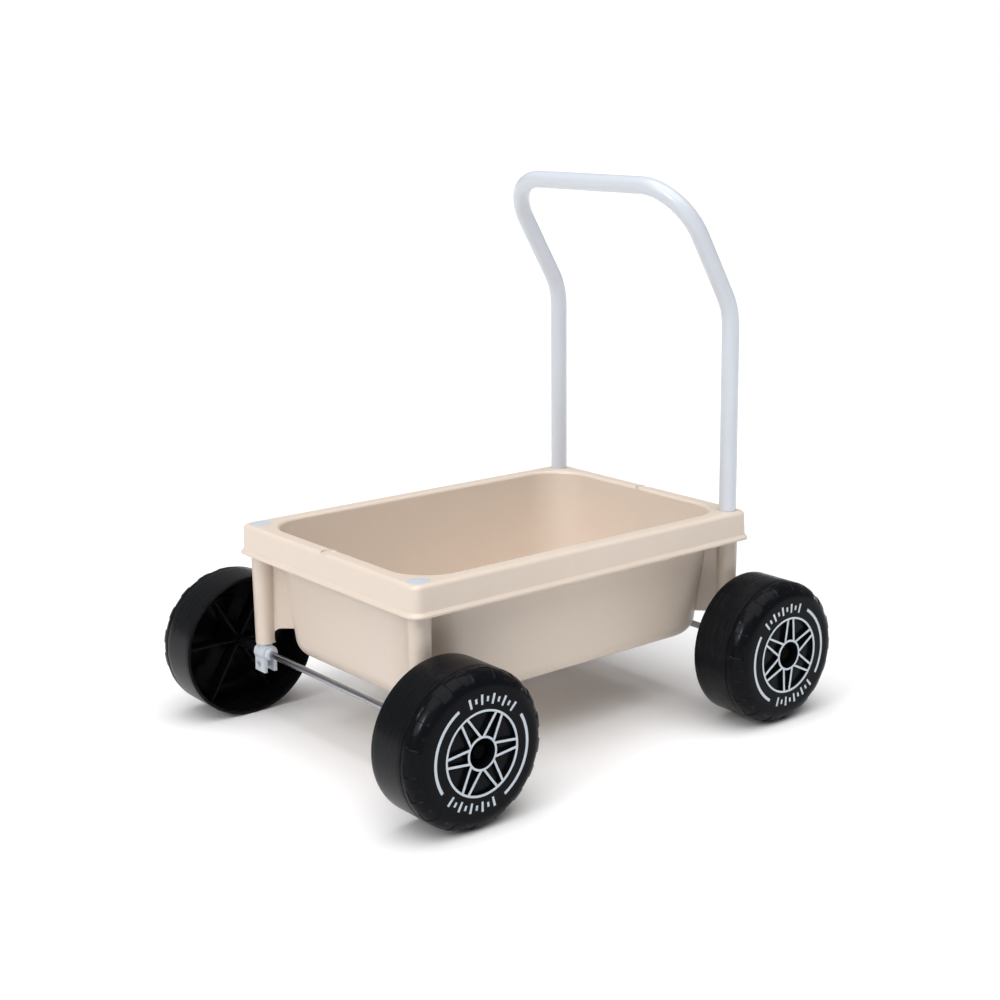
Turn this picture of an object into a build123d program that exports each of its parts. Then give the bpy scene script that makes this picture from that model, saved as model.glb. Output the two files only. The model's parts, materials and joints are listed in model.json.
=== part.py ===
from build123d import *
import math
import os

# Push-along toy wagon: a moulded tub on four corner posts, a bent tube handle in the
# rear posts, a clip under each post, two steel axles and four two-shell wheels.
# Millimetres.  +X runs from the handle end to the front end, +Y is the left-hand side,
# +Z is up.  The origin is on the floor, under the middle of the wheelbase.

# ---- driving sizes -------------------------------------------------------------------
wheelbase = 350.0            # between the two axles, and between front and rear posts
post_spacing = 240.0         # between left and right posts
axle_height = 65.0           # floor to axle centre, which is the largest radius of a wheel

# tub: an open box with drafted walls, a flat rim and a turned-down skirt
rim_height = 185.0           # floor to the flat top of the rim
tub_floor_height = 68.0      # floor to the underside of the tub
opening_setback_x = 1.5      # from the line of the post centres in to the opening, along X
opening_setback_y = 2.0      # and along Y
opening_corner = 37.0        # plan radius of the opening's corners
floor_corner = 44.0          # plan radius of the tub's outer corners at floor level
tub_wall = 2.5
wall_draft = 5.0             # degrees
floor_round = 16.0           # outer radius between walls and floor
opening_round = 3.0          # rolled edge between the rim and the inside walls
rim_overhang = 13.2          # from a post centre out to the skirt, at the rim
rim_corner = 8.0             # plan radius of the rim's outer corners
rim_round = 4.0              # rounding between rim and skirt
skirt_drop = 26.5            # rim top to the lower edge of the skirt
skirt_wall = 2.2
skirt_draft = 2.5            # degrees, wider downwards
lip_flare = 2.3              # how far the lip stands out from the skirt
lip_height = 4.4             # height of the flared band, with its straight edge
lip_edge = 1.8               # straight edge at the bottom of the lip
dimple_diameter = 14.0       # moulding dimples in the middle of both short rims
dimple_depth = 1.2

# corner posts, moulded with the tub
post_wall = 1.8              # around the handle tube, at the rim
post_taper = 3.0             # how much thinner a post is at its lower end than at the rim
post_gap = 1.8               # bare stem between a post and its clip
web_thickness = 3.0          # diagonal web between a post and the tub's corner
arch_rise = 13.6             # lower end of a post to the top of the arch under a web
arch_radius = 8.5
arch_spring = 0.9            # the arch's round side begins this many radii out from the post

# bent tube handle
tube_diameter = 16.0
tube_wall = 1.2
tube_seat_depth = 45.0       # rim down to the shoulder that the tube stands on
bend_height = 371.0          # floor to the corner where the tube starts to lean
handle_height = 483.0        # floor to the centre line of the grip
handle_lean = 66.0           # how far forward the grip stands over the tub
lower_bend_radius = 60.0
grip_bend_radius = 50.0

# plugs in the front posts
plug_head_lip = 0.8          # the head stands out past the handle tube's radius by this much
plug_head_thickness = 2.0
plug_skirt_length = 12.0
plug_wall = 1.6
plug_crown = 0.5             # dome of the plug's top over the rim

# axle clips under the posts
stem_diameter = 12.0
stem_length = 28.0
clip_saddle_wall = 4.6       # arched top of the clip over the axle
clip_length = 16.0           # along the axle, centred on the post
clip_leg_thickness = 3.0
clip_leg_length = 17.0       # axle centre down to the ends of the legs
clip_slot_room = 0.4         # from the axle's side to a leg, each side
clip_throat_grip = 0.3       # how much narrower the snap-in throat is, each side
clip_throat_height = 1.6
clip_hole_diameter = 6.2     # cross hole in both legs
clip_hole_drop = 11.0        # axle centre down to the cross hole
clip_hole_outboard = 2.0     # post's axis out to the cross hole
clip_boss_wall = 2.4         # collar around the axle on the inboard side
clip_boss_length = 4.0

# axles and their push-on caps
axle_diameter = 6.0
axle_reach = 4.4             # hub floor of a wheel to the end of the axle
end_chamfer = 0.6            # on the axles and the clip stems
cap_flange_wall = 4.5        # around the axle
cap_crown_wall = 2.5
cap_flange_thickness = 3.2
cap_height = 8.0

# wheels
wheel_standoff = 24.0        # post centre out to the wheel's inner edge
drum_length = 38.0           # inner edge to the seam between the two shells
cover_depth = 17.4           # seam to the flat face
drum_wall = 2.6
drum_rib_count = 6
drum_rib_thickness = 2.0
drum_rib_depth = 16.0
drum_hub_wall = 2.3          # around the axle
cover_wall = 2.4
shoulder_axial = 14.2        # half axes of the elliptical shoulder
shoulder_radial = 14.9
seam_groove = 0.8            # width of the groove between the two shells
seam_groove_depth = 1.0
lug_count = 18               # raised blocks around the shoulder, with shallow gaps between
lug_gap_angle = 10.0         # degrees, the width of one gap
lug_depth = 0.8
lug_from, lug_to = 6.0, 66.0  # degrees round the shoulder, from its widest circle
hub_recess_diameter = 23.4
hub_recess_depth = 12.8      # face down to the floor that the cap sits over
ring_radius = 34.2           # middle line of the outer raised ring
hub_ring_radius = 13.1       # middle line of the raised ring around the hub
ridge_width = 1.9            # raised rings and spoke ridges
ridge_height = 0.6
spoke_count = 6              # each spoke is two ridges that draw together outwards
spoke_spread_hub = 5.7       # from a spoke's middle to a ridge, at the hub ring
spoke_spread_rim = 3.2       # and at the outer ring
window_depth = 3.4           # recesses between the ridges
wheel_turns = {              # how far each wheel happens to be turned, degrees
    "front_left": 0.0, "front_right": 0.0, "rear_left": 27.0, "rear_right": 14.0}

# ---- clearances ----------------------------------------------------------------------
running_clearance = 0.08     # radial, steel axle in plastic
tube_clearance = 0.2         # radial, handle tube in a post
stem_clearance = 0.15        # radial, clip stem in a post
plug_clearance = 0.15        # radial, plug in a post
cap_clearance = 0.3          # between a cap and the wheel it holds on
hub_end_clearance = 1.5      # between a wheel's hub and the clip

# ---- worked out from the driving sizes -----------------------------------------------
post_x = wheelbase / 2
post_y = post_spacing / 2
rim_length = wheelbase + 2 * rim_overhang
rim_width = post_spacing + 2 * rim_overhang
opening_length = wheelbase - 2 * opening_setback_x
opening_width = post_spacing - 2 * opening_setback_y
tube_bore_radius = tube_diameter / 2 + tube_clearance
tube_seat_height = rim_height - tube_seat_depth
plug_head_radius = tube_diameter / 2 + plug_head_lip
axle_radius = axle_diameter / 2
bore_radius = axle_radius + running_clearance
clip_saddle_radius = axle_radius + clip_saddle_wall
clip_hole_y = post_y + clip_hole_outboard
post_top_radius = tube_bore_radius + post_wall
post_bottom_radius = post_top_radius - post_taper / 2
post_bottom_height = axle_height + clip_saddle_radius + post_gap
stem_bore_radius = stem_diameter / 2 + stem_clearance
wheel_inner_edge = post_y + wheel_standoff
wheel_seam = wheel_inner_edge + drum_length
wheel_face = wheel_seam + cover_depth
wheel_radius = axle_height
hub_floor = wheel_face - hub_recess_depth
hub_joint = hub_floor - cover_wall
hub_inner_end = post_y + clip_length / 2 + hub_end_clearance
axle_end = hub_floor + axle_reach
WIDER = 1.0                  # overshoot of a cutting tool past the face it cuts
SAME_PLACE = 0.01            # two places closer than this count as one


def rounded_loft(top_size, low_size, top_z, low_z):
    """Loft between two rounded rectangles, each (length, width, corner radius)."""
    sections = [
        Plane.XY.offset(z) * RectangleRounded(*size) for size, z in ((low_size, low_z), (top_size, top_z))]
    return loft(sections, ruled=True)


def rounded_slab(length, width, corner, z, height, taper=0.0):
    """Rounded rectangle at height z, extruded down by height; taper > 0 narrows it."""
    outline = Plane.XY.offset(z) * RectangleRounded(length, width, corner)
    return extrude(outline, amount=height, dir=(0, 0, -1), taper=taper)


def cylinder_up(x, y, z, radius, height):
    """Upright cylinder standing on z."""
    return Pos(x, y, z) * Cylinder(radius, height, align=(Align.CENTER, Align.CENTER, Align.MIN))


def cylinder_y(x, z, radius, y_from, y_to):
    """Cylinder along Y between two places."""
    middle = (y_from + y_to) / 2
    return Pos(x, middle, z) * Rot(90, 0, 0) * Cylinder(radius, abs(y_to - y_from))


def edges_at(shape, z, x_above=-1.0, x_below=math.inf):
    """Edges lying in the plane z whose reach in X is between two limits."""
    found = []
    for edge in shape.edges():
        box = edge.bounding_box()
        reach = max(abs(box.min.X), abs(box.max.X))
        flat = abs(box.min.Z - z) < SAME_PLACE and abs(box.max.Z - z) < SAME_PLACE
        if flat and x_above < reach < x_below:
            found.append(edge)
    return found


# ---- tub -----------------------------------------------------------------------------
def skirt_shell():
    """Rim plate with its turned-down skirt and flared lip, open underneath."""
    straight = skirt_drop - lip_height
    flare_drop = lip_height - lip_edge
    flare_angle = math.degrees(math.atan2(lip_flare, flare_drop))
    growth = straight * math.tan(math.radians(skirt_draft))
    low = rim_height - straight

    def stack(inset, top):
        length = rim_length - 2 * inset
        width = rim_width - 2 * inset
        corner = rim_corner - inset
        upper = rounded_slab(length, width, corner, rim_height, straight, -skirt_draft)
        grow = 2 * growth
        flare = rounded_slab(length + grow, width + grow, corner + growth, low, flare_drop, -flare_angle)
        wide = grow + 2 * lip_flare
        edge = rounded_slab(
            length + wide, width + wide, corner + growth + lip_flare,
            low - flare_drop, lip_edge + top)
        return upper + flare + edge

    outside = stack(0.0, 0.0)
    outside = fillet(edges_at(outside, rim_height), rim_round)
    inside = stack(skirt_wall, WIDER)
    room = Pos(0, 0, rim_height - tub_wall) * Box(
        2 * rim_length, 2 * rim_width, 2 * skirt_drop, align=(Align.CENTER, Align.CENTER, Align.MAX))
    return outside - (inside & room)


def tub_block(inset, floor_z, radius):
    """The tub's body as a drafted block, with rounded lower edges."""
    length = opening_length + 2 * tub_wall - 2 * inset
    width = opening_width + 2 * tub_wall - 2 * inset
    narrow = 2 * (rim_height - floor_z) * math.tan(math.radians(wall_draft))
    top = (length, width, opening_corner + tub_wall - inset)
    low = (length - narrow, width - narrow, floor_corner - inset)
    block = rounded_loft(top, low, rim_height, floor_z)
    return fillet(edges_at(block, floor_z), radius)


def post(x, y):
    """Tapered corner post, from its lower end up to the rim."""
    height = rim_height - tub_wall / 2 - post_bottom_height
    body = Cone(
        post_bottom_radius, post_top_radius, height,
        align=(Align.CENTER, Align.CENTER, Align.MIN))
    return Pos(x, y, post_bottom_height) * body


def web(x, y):
    """Diagonal web from a post to the tub's corner, with an arch below."""
    reach = opening_corner
    top = rim_height - tub_wall / 2
    plate = Box(
        reach, web_thickness, top - post_bottom_height,
        align=(Align.MIN, Align.CENTER, Align.MIN))
    gap = post_bottom_radius + arch_radius * arch_spring
    arch_z = arch_rise - arch_radius
    notch = Pos(gap, 0, arch_z) * Rot(90, 0, 0) * Cylinder(arch_radius, 3 * web_thickness)
    past = Pos(gap, 0, -WIDER) * Box(
        reach, 3 * web_thickness, arch_rise + WIDER,
        align=(Align.MIN, Align.CENTER, Align.MIN))
    turn = math.degrees(math.atan2(-y, -x))
    diagonal = 45 + 90 * math.floor(turn / 90)
    return Pos(x, y, post_bottom_height) * Rot(0, 0, diagonal) * (plate - notch - past)


def make_tub():
    cavity = tub_block(tub_wall, tub_floor_height + tub_wall, floor_round - tub_wall)
    body = skirt_shell() + tub_block(0.0, tub_floor_height, floor_round)
    for x in (post_x, -post_x):
        for y in (post_y, -post_y):
            body += post(x, y) + web(x, y)
    body -= cavity
    for x in (post_x, -post_x):
        for y in (post_y, -post_y):
            body -= cylinder_up(x, y, tube_seat_height, tube_bore_radius, tube_seat_depth + WIDER)
            body -= cylinder_up(x, y, post_bottom_height - WIDER, stem_bore_radius, tube_seat_height)
    for y in (post_y, -post_y):
        head = plug_head_radius + plug_clearance
        body -= cylinder_up(post_x, y, rim_height - plug_head_thickness, head, plug_head_thickness + WIDER)
    for x in (1, -1):
        middle = (opening_length / 2 + rim_length / 2) / 2
        body -= cylinder_up(
            x * middle, 0, rim_height - dimple_depth, dimple_diameter / 2, dimple_depth + WIDER)
    mouth = edges_at(body, rim_height, post_x / 2, opening_length / 2 + SAME_PLACE)
    return body, mouth


# ---- handle and plugs ----------------------------------------------------------------
def make_handle():
    """One bent tube: up out of a rear post, leaning forward, across and back down."""
    foot = (-post_x, post_y, tube_seat_height)
    bend = (-post_x, post_y, bend_height)
    top = (-post_x + handle_lean, post_y, handle_height)
    path_points = [foot, bend, top]
    path_points += [(x, -y, z) for x, y, z in reversed(path_points)]
    radii = [lower_bend_radius, grip_bend_radius, grip_bend_radius, lower_bend_radius]
    path = FilletPolyline(*path_points, radius=radii)
    section = Plane(origin=foot, z_dir=(0, 0, 1)) * (
        Circle(tube_diameter / 2) - Circle(tube_diameter / 2 - tube_wall))
    return sweep(section, path=path)


def make_plug(y):
    """Push-in plug with a slightly domed head and a hollow skirt."""
    under = rim_height - plug_head_thickness
    skirt_radius = tube_bore_radius - plug_clearance
    head = cylinder_up(post_x, y, under, plug_head_radius, plug_head_thickness)
    dome_radius = (plug_head_radius ** 2 + plug_crown ** 2) / (2 * plug_crown)
    ball = Pos(post_x, y, rim_height + plug_crown - dome_radius) * Sphere(dome_radius)
    dome = ball & cylinder_up(post_x, y, rim_height, plug_head_radius, 2 * plug_crown)
    skirt = cylinder_up(post_x, y, under - plug_skirt_length, skirt_radius, plug_skirt_length)
    hollow = cylinder_up(
        post_x, y, under - plug_skirt_length - WIDER, skirt_radius - plug_wall,
        plug_skirt_length + WIDER)
    return head + dome + skirt - hollow


# ---- axle clips ----------------------------------------------------------------------
def make_clip(x, y):
    """Forked clip: a stem in the post, a saddle over the axle and two legs beside it."""
    side = math.copysign(1, y)
    middle = side * post_y
    half = clip_length / 2
    low = axle_height - clip_leg_length
    slot_width = axle_diameter + 2 * clip_slot_room
    arch = cylinder_y(0, axle_height, clip_saddle_radius, middle - half, middle + half)
    legs = Pos(0, middle, (low + axle_height) / 2) * Box(
        slot_width + 2 * clip_leg_thickness, clip_length, clip_leg_length)
    inner_face = middle - side * half
    boss = cylinder_y(
        0, axle_height, axle_radius + clip_boss_wall, inner_face, inner_face - side * clip_boss_length)
    stem_top = post_bottom_height + stem_length
    stem = cylinder_up(0, middle, axle_height, stem_diameter / 2, stem_top - axle_height)
    stem = chamfer(edges_at(stem, stem_top), end_chamfer)
    body = arch + legs + boss + stem
    long = 2 * clip_length
    body -= cylinder_y(0, axle_height, bore_radius, middle - long, middle + long)
    throat_top = axle_height - axle_radius / 2
    body -= Pos(0, middle, throat_top) * Box(
        axle_diameter - 2 * clip_throat_grip, long, axle_radius + clip_throat_height,
        align=(Align.CENTER, Align.CENTER, Align.MAX))
    slot_top = axle_height - axle_radius - clip_throat_height
    body -= Pos(0, middle, slot_top) * Box(
        slot_width, long, slot_top - low + WIDER,
        align=(Align.CENTER, Align.CENTER, Align.MAX))
    hole = Pos(0, side * clip_hole_y, axle_height - clip_hole_drop) * Rot(0, 90, 0) * Cylinder(
        clip_hole_diameter / 2, 2 * slot_width + 4 * clip_leg_thickness)
    return Pos(x, 0, 0) * (body - hole)


# ---- axles and caps ------------------------------------------------------------------
def make_axle(x):
    rod = cylinder_y(0, 0, axle_radius, -axle_end, axle_end)
    rims = [edge for edge in rod.edges() if edge.geom_type == GeomType.CIRCLE]
    rod = chamfer(rims, end_chamfer)
    return Pos(x, 0, axle_height) * rod


def ring_profile(points):
    """Turn a closed outline of (radius, distance out) points about the axle line."""
    outline = Plane.XY * Polyline(*points, close=True)
    return revolve(make_face(outline), axis=Axis.Y, revolution_arc=360)


def place_wheel(shape, x, side, turn):
    """A wheel piece is made on the left, at x = z = 0, and turned round for the right."""
    turned = Rot(0, turn, 0) * shape
    if side < 0:
        turned = Rot(0, 0, 180) * turned
    return Pos(x, 0, axle_height) * turned


def make_cap():
    """Push-on cap: a flange near the hub floor and a closed crown over the axle's end."""
    base = hub_floor + cap_clearance
    flange = axle_radius + cap_flange_wall
    crown = axle_radius + cap_crown_wall
    top = base + cap_height
    return ring_profile([
        (axle_radius, base), (flange, base), (flange, base + cap_flange_thickness),
        (crown, base + cap_flange_thickness), (crown, top), (0, top), (0, axle_end),
        (axle_radius, axle_end)])


# ---- wheels --------------------------------------------------------------------------
def make_drum():
    """Open-backed inner shell: a ring and a hub tube joined by radial ribs."""
    outer = wheel_radius
    inner = outer - drum_wall
    hub = axle_radius + drum_hub_wall
    ring = ring_profile([
        (inner, wheel_inner_edge), (outer, wheel_inner_edge), (outer, wheel_seam), (inner, wheel_seam)])
    tube = ring_profile([
        (bore_radius, hub_inner_end), (hub, hub_inner_end), (hub, hub_joint), (bore_radius, hub_joint)])
    drum = ring + tube
    rib_length = (inner + drum_wall / 2) - (bore_radius + hub) / 2
    rib_middle = (bore_radius + hub) / 2 + rib_length / 2
    for index in range(drum_rib_count):
        rib = Pos(rib_middle, wheel_seam - drum_rib_depth / 2, 0) * Box(
            rib_length, drum_rib_depth, drum_rib_thickness)
        drum += Rot(0, index * 360 / drum_rib_count, 0) * rib
    return drum


def shoulder_outline(radius, seam, face, axial, radial):
    """Solid of revolution: straight side from the seam, elliptical shoulder, flat face."""
    lines = [
        Line((0, seam), (radius, seam)),
        Line((radius, seam), (radius, face - axial)),
        EllipticalCenterArc((radius - radial, face - axial), radial, axial, arc_size=90),
        Line((radius - radial, face), (0, face)),
        Line((0, face), (0, seam)),
    ]
    return revolve(make_face(Wire(lines)), axis=Axis.Y, revolution_arc=360)


def spoke_ridges():
    """The raised pattern in plan: two rings, and two ridges for each spoke."""
    half = ridge_width / 2
    pattern = Circle(ring_radius + half) - Circle(ring_radius - half)
    pattern += Circle(hub_ring_radius + half) - Circle(hub_ring_radius - half)
    for index in range(spoke_count):
        for side in (1, -1):
            inner = Vector(math.sqrt(hub_ring_radius ** 2 - spoke_spread_hub ** 2), side * spoke_spread_hub)
            outer = Vector(math.sqrt(ring_radius ** 2 - spoke_spread_rim ** 2), side * spoke_spread_rim)
            along = outer - inner
            bar = Rectangle(along.length, ridge_width, align=(Align.MIN, Align.CENTER))
            lean = math.degrees(math.atan2(along.Y, along.X))
            pattern += Rot(0, 0, index * 360 / spoke_count) * Pos(inner.X, inner.Y) * Rot(0, 0, lean) * bar
    return pattern


def lug_gap():
    """One shallow gap between two lugs: a thin slice off the elliptical shoulder."""
    centre = (wheel_radius - shoulder_radial, wheel_face - shoulder_axial)
    span = lug_to - lug_from
    arcs = []
    for grow in (-lug_depth, WIDER):
        arcs.append(EllipticalCenterArc(
            centre, shoulder_radial + grow, shoulder_axial + grow, start_angle=lug_from,
            arc_size=span))
    low, high = arcs
    outline = Wire([low, Line(low @ 1, high @ 1), high, Line(high @ 0, low @ 0)])
    return revolve(make_face(outline), axis=Axis.Y, revolution_arc=lug_gap_angle)


def make_cover():
    """Outer shell: bulged shoulder with lugs, spoked face with recesses, hub recess."""
    outer = wheel_radius
    shell = shoulder_outline(outer, wheel_seam, wheel_face, shoulder_axial, shoulder_radial)
    shell -= shoulder_outline(
        outer - cover_wall, wheel_seam - WIDER, wheel_face - cover_wall,
        shoulder_axial - cover_wall, shoulder_radial - cover_wall)
    shell -= ring_profile([
        (outer - seam_groove_depth, wheel_seam - WIDER), (outer + WIDER, wheel_seam - WIDER),
        (outer + WIDER, wheel_seam + seam_groove), (outer - seam_groove_depth, wheel_seam + seam_groove)])
    gap = lug_gap()
    for index in range(lug_count):
        shell -= Rot(0, index * 360 / lug_count - lug_gap_angle / 2, 0) * gap
    dish_floor = wheel_face - window_depth
    shell += cylinder_y(0, 0, ring_radius + ridge_width / 2, dish_floor - cover_wall, wheel_face)
    shell += cylinder_y(0, 0, hub_recess_diameter / 2 + cover_wall, hub_joint, wheel_face)
    face_plane = Plane(origin=(0, wheel_face, 0), x_dir=(1, 0, 0), z_dir=(0, 1, 0))
    ridges = spoke_ridges()
    half = ridge_width / 2
    recesses = Circle(ring_radius - half) - Circle(hub_ring_radius + half) - ridges
    shell -= extrude(face_plane * recesses, amount=-window_depth)
    shell += extrude(face_plane * ridges, amount=ridge_height)
    shell -= cylinder_y(0, 0, hub_recess_diameter / 2, hub_floor, wheel_face + 2 * WIDER)
    shell -= cylinder_y(0, 0, bore_radius, hub_joint - WIDER, wheel_face)
    return shell


def export(shape, node):
    export_step(shape, f"parts/{node}.step")


if __name__ == "__main__":
    os.makedirs("parts", exist_ok=True)
    tub, mouth = make_tub()
    export(fillet(mouth, opening_round), "tub")
    export(make_handle(), "handle_tube")
    drum = make_drum()
    cover = make_cover()
    cap = make_cap()
    for end, x in (("front", post_x), ("rear", -post_x)):
        export(make_axle(x), f"{end}_axle")
        for name, side in (("left", 1), ("right", -1)):
            corner = f"{end}_{name}"
            export(make_clip(x, side * post_y), f"{corner}_axle_clip")
            turn = wheel_turns[corner]
            export(place_wheel(drum, x, side, turn), f"{corner}_wheel_drum")
            export(place_wheel(cover, x, side, turn), f"{corner}_wheel_cover")
            export(place_wheel(cap, x, side, 0.0), f"{corner}_axle_cap")
            if end == "front":
                export(make_plug(side * post_y), f"{corner}_plug")
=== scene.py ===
# %% [markdown]
# # A toy push wagon
# The real wagon is a moulded tub on four corner posts. A bent steel tube stands in the
# two rear posts as a handle, and two steel axles in plastic clips carry four black
# plastic wheels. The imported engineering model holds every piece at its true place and
# size. Here the pieces get their finish, and the wheels get their fine moulded detail.

# %% Load the frame
import bpy
import json
import math
import numpy as np
from mathutils import Matrix, Vector


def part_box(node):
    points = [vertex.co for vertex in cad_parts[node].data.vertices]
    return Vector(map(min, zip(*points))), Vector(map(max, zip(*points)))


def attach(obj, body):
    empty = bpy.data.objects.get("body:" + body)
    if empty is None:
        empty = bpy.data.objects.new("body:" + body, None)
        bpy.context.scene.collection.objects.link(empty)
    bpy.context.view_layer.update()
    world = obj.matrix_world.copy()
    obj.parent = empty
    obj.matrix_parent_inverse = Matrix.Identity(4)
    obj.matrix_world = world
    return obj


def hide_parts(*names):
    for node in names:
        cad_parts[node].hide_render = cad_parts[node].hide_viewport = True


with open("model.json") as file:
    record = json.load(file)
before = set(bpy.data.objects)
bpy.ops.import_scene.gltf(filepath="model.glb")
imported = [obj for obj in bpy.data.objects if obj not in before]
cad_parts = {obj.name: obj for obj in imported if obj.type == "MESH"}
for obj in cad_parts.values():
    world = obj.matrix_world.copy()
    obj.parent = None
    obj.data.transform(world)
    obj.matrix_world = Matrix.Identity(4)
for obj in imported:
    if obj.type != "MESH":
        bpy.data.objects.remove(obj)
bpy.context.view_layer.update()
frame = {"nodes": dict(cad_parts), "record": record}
nodes = frame["nodes"]

# %% [markdown]
# ## Reading sizes from the model
# Every size that the wheels need comes from the engineering model's own boxes: where an
# axle lies, how wide a wheel shell is, and which side of the wagon it is on. Only the
# profile of the moulding in between is described here, in millimetres.

# %% Where the wheels are
MM = 0.001
CORNERS = ("front_left", "front_right", "rear_left", "rear_right")


def wheel_place(corner):
    """(x, z, side): where the axle lies, and which side of the wagon the wheel is on."""
    low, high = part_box(corner + "_wheel_cover")
    axle_low, axle_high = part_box(corner.split("_")[0] + "_axle")
    side = 1.0 if high[1] > 0 else -1.0
    return (axle_low[0] + axle_high[0]) / 2, (axle_low[2] + axle_high[2]) / 2, side


def ends_along_axle(node):
    """The two distances from the wagon's middle, in millimetres, between which a node lies."""
    low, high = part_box(node)
    return sorted(abs(value) / MM for value in (low[1], high[1]))


def radius_of(node):
    """Half the height of a round node, in millimetres."""
    low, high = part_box(node)
    return (high[2] - low[2]) / 2 / MM


places = {corner: wheel_place(corner) for corner in CORNERS}
for corner, place in places.items():
    print(corner, "wheel at", [round(value, 4) for value in place])

seam_mm, top_mm = ends_along_axle("front_left_wheel_cover")
hub_end_mm, hub_joint_mm = ends_along_axle("front_left_wheel_drum")
WHEEL_RADIUS = radius_of("front_left_wheel_cover")
AXLE_CLEARANCE = 0.08
BORE = radius_of("front_axle") + AXLE_CLEARANCE
print("seam at", round(seam_mm, 2), "face at", round(top_mm, 2),
      "radius", round(WHEEL_RADIUS, 2), "bore", round(BORE, 2))

# %% [markdown]
# ## Turning a grid of points into a mesh
# Each new piece is a surface with two parameters. Its points come as one array with rows
# and columns, and the faces join each point to its neighbours. Where a row or column
# closes on itself, the last one joins the first, so that no seam stays open. The sign of
# the enclosed volume tells whether the faces point outwards; if not, they are reversed.


# %% Mesh helpers
def grid_faces(rows, columns, close_rows):
    """Quads of a grid, numbered by row and column. The columns close on themselves; the rows may."""
    row = np.arange(rows if close_rows else rows - 1)[:, None]
    column = np.arange(columns)[None, :]
    next_row = (row + 1) % rows
    next_column = (column + 1) % columns
    corners = (row * columns + column, row * columns + next_column,
               next_row * columns + next_column, next_row * columns + column)
    return np.stack(corners, axis=-1).reshape(-1, 4)


def outward(points, faces):
    """Reverses the faces if the volume they enclose, a sum of corner products, is negative."""
    a, b, c, d = (points[faces[:, k]] for k in range(4))
    volume = np.einsum("ij,ij->", a, np.cross(b, c)) + np.einsum("ij,ij->", a, np.cross(c, d))
    return faces if volume > 0 else faces[:, ::-1]


SHARP_DEGREES = {"cover": 42, "drum": 40}


def mesh_piece(name, points, faces, attributes, body, node, sharp_degrees):
    """Makes the object with its values per point, and lets it stand for a node and ride its body."""
    mesh = bpy.data.meshes.new(name)
    mesh.vertices.add(len(points))
    mesh.vertices.foreach_set("co", points.ravel())
    mesh.loops.add(faces.size)
    mesh.loops.foreach_set("vertex_index", faces.ravel())
    mesh.polygons.add(len(faces))
    mesh.polygons.foreach_set("loop_start", np.arange(0, faces.size, 4))
    mesh.update(calc_edges=True)
    mesh.validate()
    for label, values in attributes.items():
        kind, field = ("FLOAT", "value") if values.ndim == 1 else ("FLOAT_VECTOR", "vector")
        mesh.attributes.new(label, kind, "POINT").data.foreach_set(field, values.ravel())
    mesh.polygons.foreach_set("use_smooth", np.ones(len(faces), dtype=bool))
    mesh.set_sharp_from_angle(angle=math.radians(sharp_degrees))
    piece = bpy.data.objects.new(name, mesh)
    bpy.context.collection.objects.link(piece)
    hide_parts(node)
    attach(piece, body)
    print(name, len(points), "points", 2 * len(faces), "triangles")
    return piece


def stand_in_place(local, turn, place):
    """Turns wheel points about the axle, swings right-hand wheels half round, and moves them there."""
    x, z, side = place
    c, s = math.cos(turn), math.sin(turn)
    across = local[:, 0] * c + local[:, 2] * s
    up = local[:, 2] * c - local[:, 0] * s
    return np.stack([side * across + x, side * local[:, 1], up + z], axis=1)


# %% [markdown]
# ## The wheel covers
# A real cover is one thin moulding: a hub recess, six spokes drawn by pairs of thin
# ridges between two raised rings, a flat face and a bulged shoulder with shallow gaps
# between eighteen lugs. Cutting that with booleans leaves hard edges and untidy faces. A
# closed profile turned about the axle gives clean ones, if its columns of points follow
# the spokes on the face and the lugs on the shoulder. So the angle of a column changes
# with the radius: it runs along the ridges inside, and drifts to the lugs' edges outside.

# %% Spokes and lugs as angles
SPOKES = 6
HUB_RING, OUTER_RING, RIDGE = 13.1, 34.2, 1.9  # middle radii of the rings, width of a ridge
SPREAD_HUB, SPREAD_RIM, SPREAD_MEAN = 5.7, 3.2, 4.5  # how far a ridge lies from its spoke's middle
WALL_DRAFT = 0.22  # how far a ridge's wall leans outwards at its foot
LUG_DEGREES, LUG_COLUMNS = 20.0, 14


def spoke_angles(radius):
    """Angle of each column at each radius: arcsine of its distance from the spoke over the radius."""
    reach = np.clip(radius, HUB_RING + RIDGE / 2, OUTER_RING - RIDGE / 2)[:, None]
    along = np.sqrt(reach ** 2 - SPREAD_MEAN ** 2)
    hub_end = math.sqrt(HUB_RING ** 2 - SPREAD_HUB ** 2)
    rim_end = math.sqrt(OUTER_RING ** 2 - SPREAD_RIM ** 2)
    middle = SPREAD_HUB + (along - hub_end) * (SPREAD_RIM - SPREAD_HUB) / (rim_end - hub_end)
    offsets = [middle - RIDGE / 2 - WALL_DRAFT, middle - RIDGE / 2,
               middle + RIDGE / 2, middle + RIDGE / 2 + WALL_DRAFT]
    inner_foot, inner_top, outer_top, outer_foot = (np.arcsin(offset / reach) for offset in offsets)
    half = np.full_like(reach, math.pi / SPOKES)
    edges = np.concatenate([
        -half, -outer_foot, -outer_top, -inner_top, -inner_foot,
        inner_foot, inner_top, outer_top, outer_foot, half], axis=1)
    cells = (11, 1, 4, 1, 8, 1, 4, 1, 11)
    parts = [edges[:, k:k + 1] + (edges[:, k + 1:k + 2] - edges[:, k:k + 1]) * np.arange(count) / count
             for k, count in enumerate(cells)]
    sector = np.concatenate(parts, axis=1)
    turns = np.arange(SPOKES) * 2 * math.pi / SPOKES
    return (turns[None, :, None] + sector[:, None, :]).reshape(len(radius), -1)


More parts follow.
